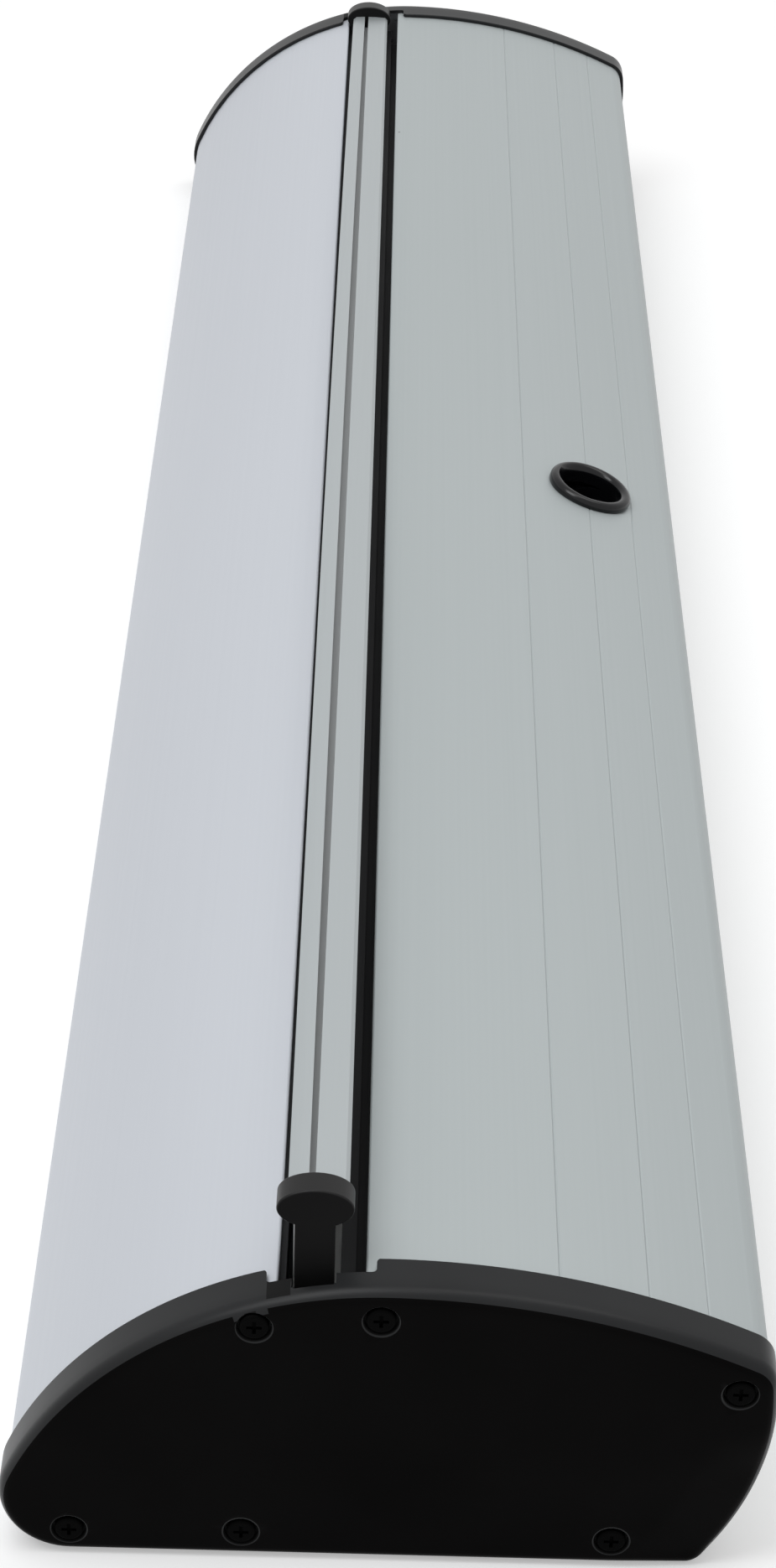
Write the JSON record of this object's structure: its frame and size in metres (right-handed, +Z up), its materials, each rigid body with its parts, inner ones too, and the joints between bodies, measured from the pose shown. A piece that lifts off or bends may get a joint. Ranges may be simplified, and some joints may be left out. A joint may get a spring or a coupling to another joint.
{
  "type": "retractable banner stand",
  "caption": "Long closed cassette with a domed section, black end caps, a top slot with a lifting rail and spring roller, and a round pole passage in its rear slope.",
  "frame": {"origin": "middle of the floor under the cassette, at the centre of its footprint", "axes": "+X to the rear (the pole side), +Y along the cassette to the far end, +Z up"},
  "size_m": [0.196, 0.899, 0.1116],
  "materials": {
    "shell": "satin silver anodised extrusion",
    "rail": "satin silver anodised extrusion",
    "end_cap": "black moulded plastic, glossy face",
    "rail_head": "black moulded plastic, semi-gloss",
    "plate": "zinc plated steel sheet",
    "screw": "black zinc plated steel",
    "grommet": "smooth black rubber",
    "socket": "dull steel tube",
    "foot": "black moulded plastic",
    "guide": "dark grey extruded plastic",
    "tube": "plain mill finish",
    "steel": "bright drawn steel",
    "plug": "black moulded plastic",
    "film": "plain white matt banner film"
  },
  "bodies": {
    "base": {"rear_shell": "shell", "front_shell": "shell", "near_end_cap": "end_cap", "far_end_cap": "end_cap", "near_end_plate": "plate", "far_end_plate": "plate", "near_cap_screws": "screw", "far_cap_screws": "screw", "pole_grommet": "grommet", "pole_socket_tube": "socket", "pole_foot": "foot", "pole_foot_screws": "steel", "front_slot_guide": "guide", "rear_slot_guide": "guide", "spring_shaft": "steel", "spring_anchor": "plug", "idler_pin": "steel", "retaining_clips": "steel"},
    "roller": {"roller_tube": "tube", "banner_roll": "film", "torsion_spring": "steel", "spring_plug": "plug", "idler_plug": "plug"},
    "banner": {"banner_web": "film"},
    "rail": {"rail_front_bar": "rail", "rail_rear_bar": "rail", "rail_near_head": "rail_head", "rail_far_head": "rail_head"}
  },
  "joints": [
    {"name": "rail_lift", "type": "slide", "parent": "base", "child": "banner", "axis": [0, 0, 1], "range_m": [0, 1.95], "stiffness_N_per_m": 10, "springref_m": -1.5, "deforming": ["banner_web"]},
    {"name": "rail_tilt", "type": "hinge", "parent": "banner", "child": "rail", "pos_m": [0, 0.435, 0.05705], "axis": [1, 0, 0], "range_deg": [0, 1.25], "deforming": ["banner_web"]},
    {"name": "roller_spin", "type": "hinge", "parent": "base", "child": "roller", "pos_m": [-0.003, 0, 0.038], "axis": [0, 1, 0], "range_deg": [0, 6120]}
  ],
  "couplings": [
    {"joint": "roller_spin", "follows": "rail_lift", "rad_per_m": 54.348}
  ]
}
